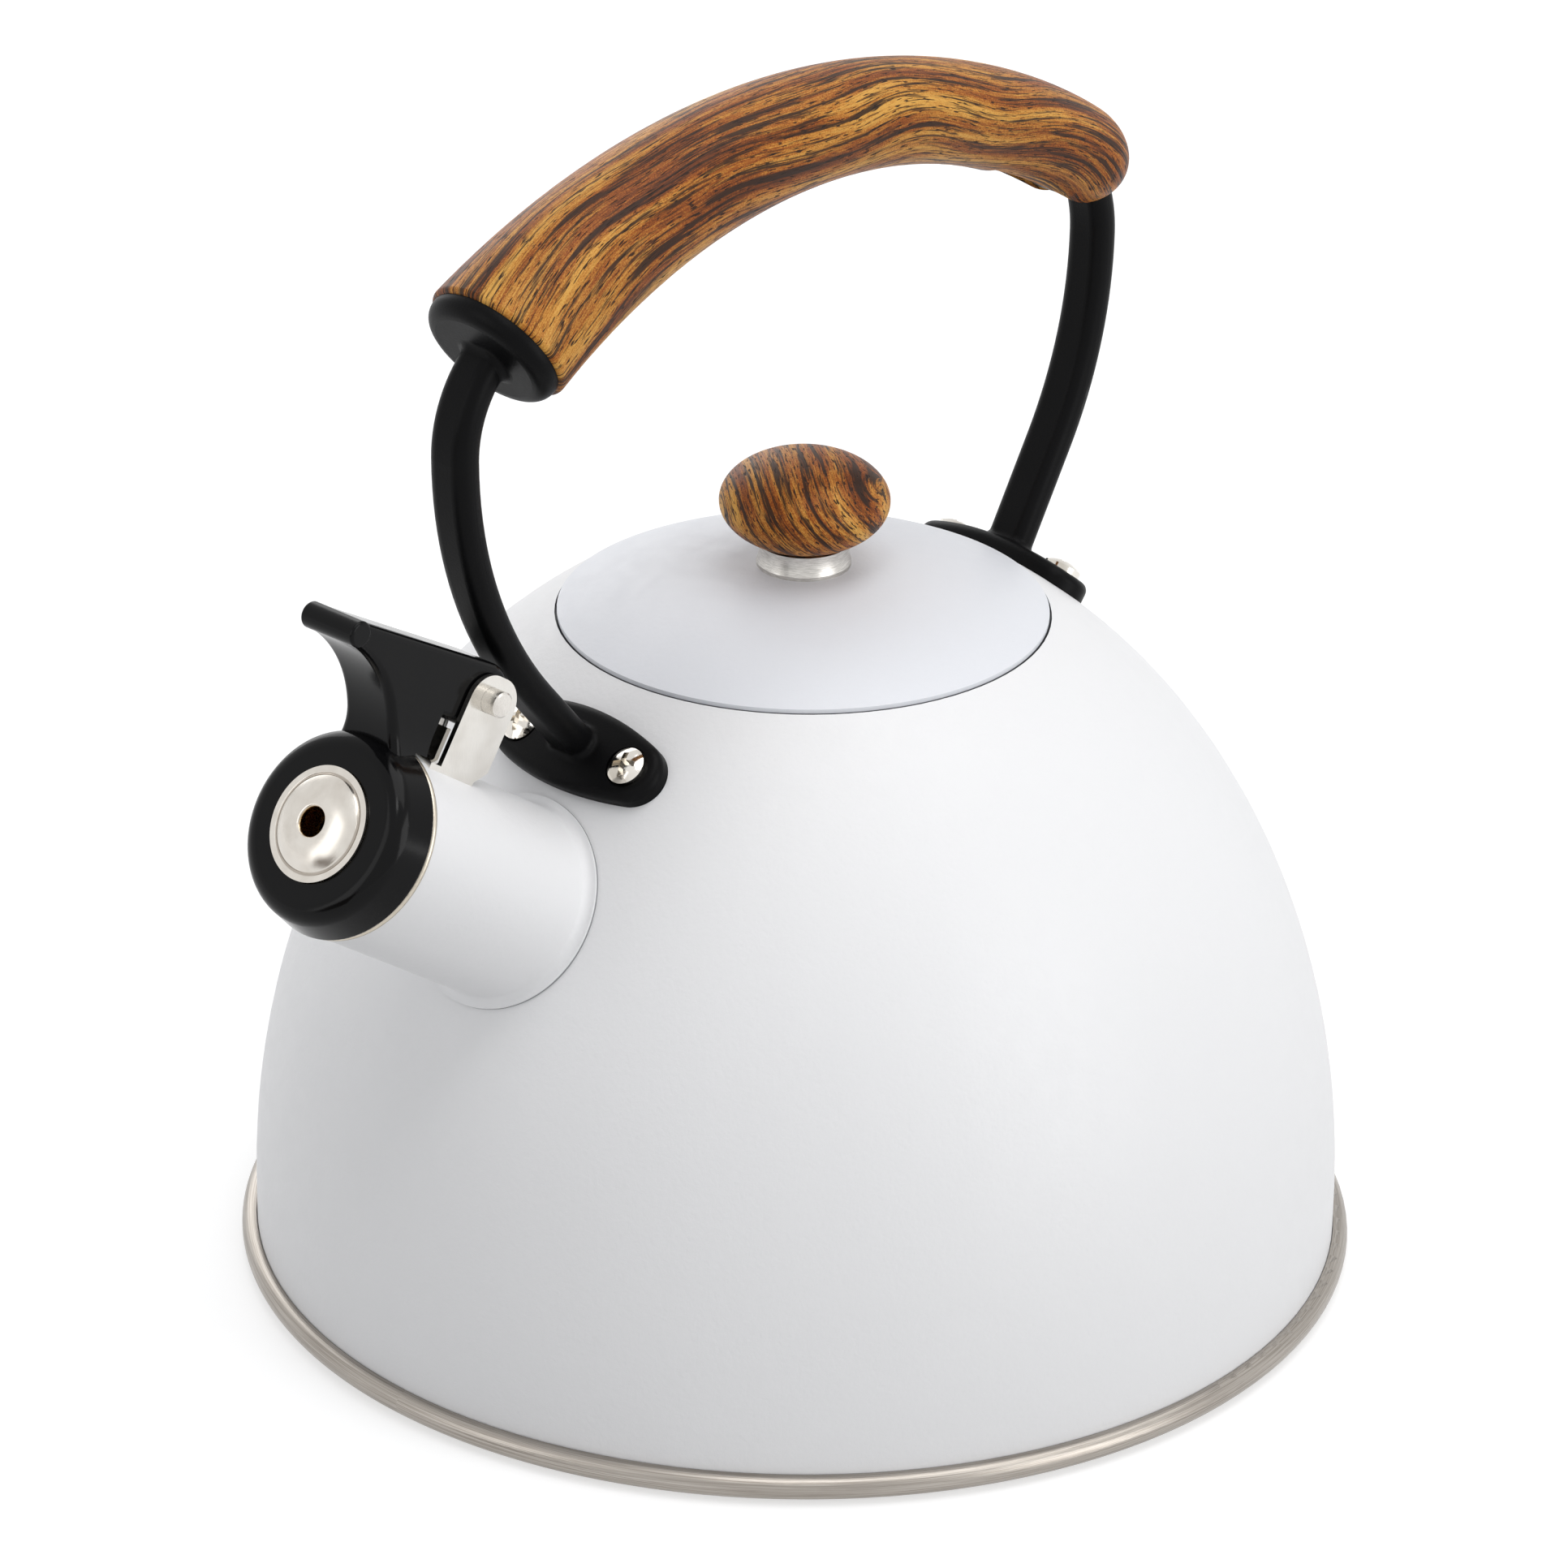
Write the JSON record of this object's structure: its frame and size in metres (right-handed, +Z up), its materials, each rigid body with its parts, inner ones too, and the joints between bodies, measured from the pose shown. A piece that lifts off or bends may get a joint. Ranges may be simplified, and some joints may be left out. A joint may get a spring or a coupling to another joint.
{
  "type": "stovetop whistling kettle",
  "caption": "Domed stovetop kettle with a flip-up whistle cap on its spout, a lift-off lid with a round knob, and a fixed arched handle with a wood-look grip.",
  "frame": {"origin": "centre of the flat bottom, on the stove", "axes": "+Z up, -X towards the spout; spout, whistle lever and handle lie in the XZ plane"},
  "size_m": [0.2402, 0.215, 0.2372],
  "materials": {
    "coat": "white satin powder coat",
    "brushed_steel": "brushed stainless steel",
    "nickel": "bright nickel plate",
    "aluminium_core": "plain pressed aluminium",
    "black_nylon": "satin black heat-resistant moulding",
    "black_gloss": "semi-gloss black moulding",
    "wood_grain": "satin, streaked golden and dark brown grain",
    "brass": "plain brass",
    "steel": "plain steel"
  },
  "bodies": {
    "kettle": {"body_shell": "coat", "base_pan": "brushed_steel", "heat_disc": "aluminium_core", "base_cap": "brushed_steel", "spout_tube": "coat", "hinge_bracket": "nickel", "hinge_pin": "nickel", "return_spring": "steel", "front_weld_strip": "steel", "rear_weld_strip": "steel", "front_foot_screws": "nickel", "rear_foot_screws": "nickel", "front_arm": "black_nylon", "rear_arm": "black_nylon", "grip": "wood_grain", "grip_screw": "steel"},
    "whistle": {"whistle_lever": "black_gloss", "whistle_disc": "nickel", "whistle_plate": "brass"},
    "lid": {"lid_shell": "coat", "lid_skirt": "brushed_steel", "knob_collar": "brushed_steel", "lid_knob": "wood_grain", "knob_insert": "brass", "knob_washer": "steel", "knob_screw": "steel"}
  },
  "joints": [
    {"name": "whistle_hinge", "type": "hinge", "parent": "kettle", "child": "whistle", "pos_m": [-0.08922, 0, 0.14319], "axis": [0, 1, 0], "range_deg": [0, 38], "stiffness_Nm_per_rad": 0.06, "springref_deg": -28.65, "deforming": ["return_spring"]},
    {"name": "lid_lift", "type": "slide", "parent": "kettle", "child": "lid", "axis": [0, 0, 1], "range_m": [0, 0.045]}
  ]
}
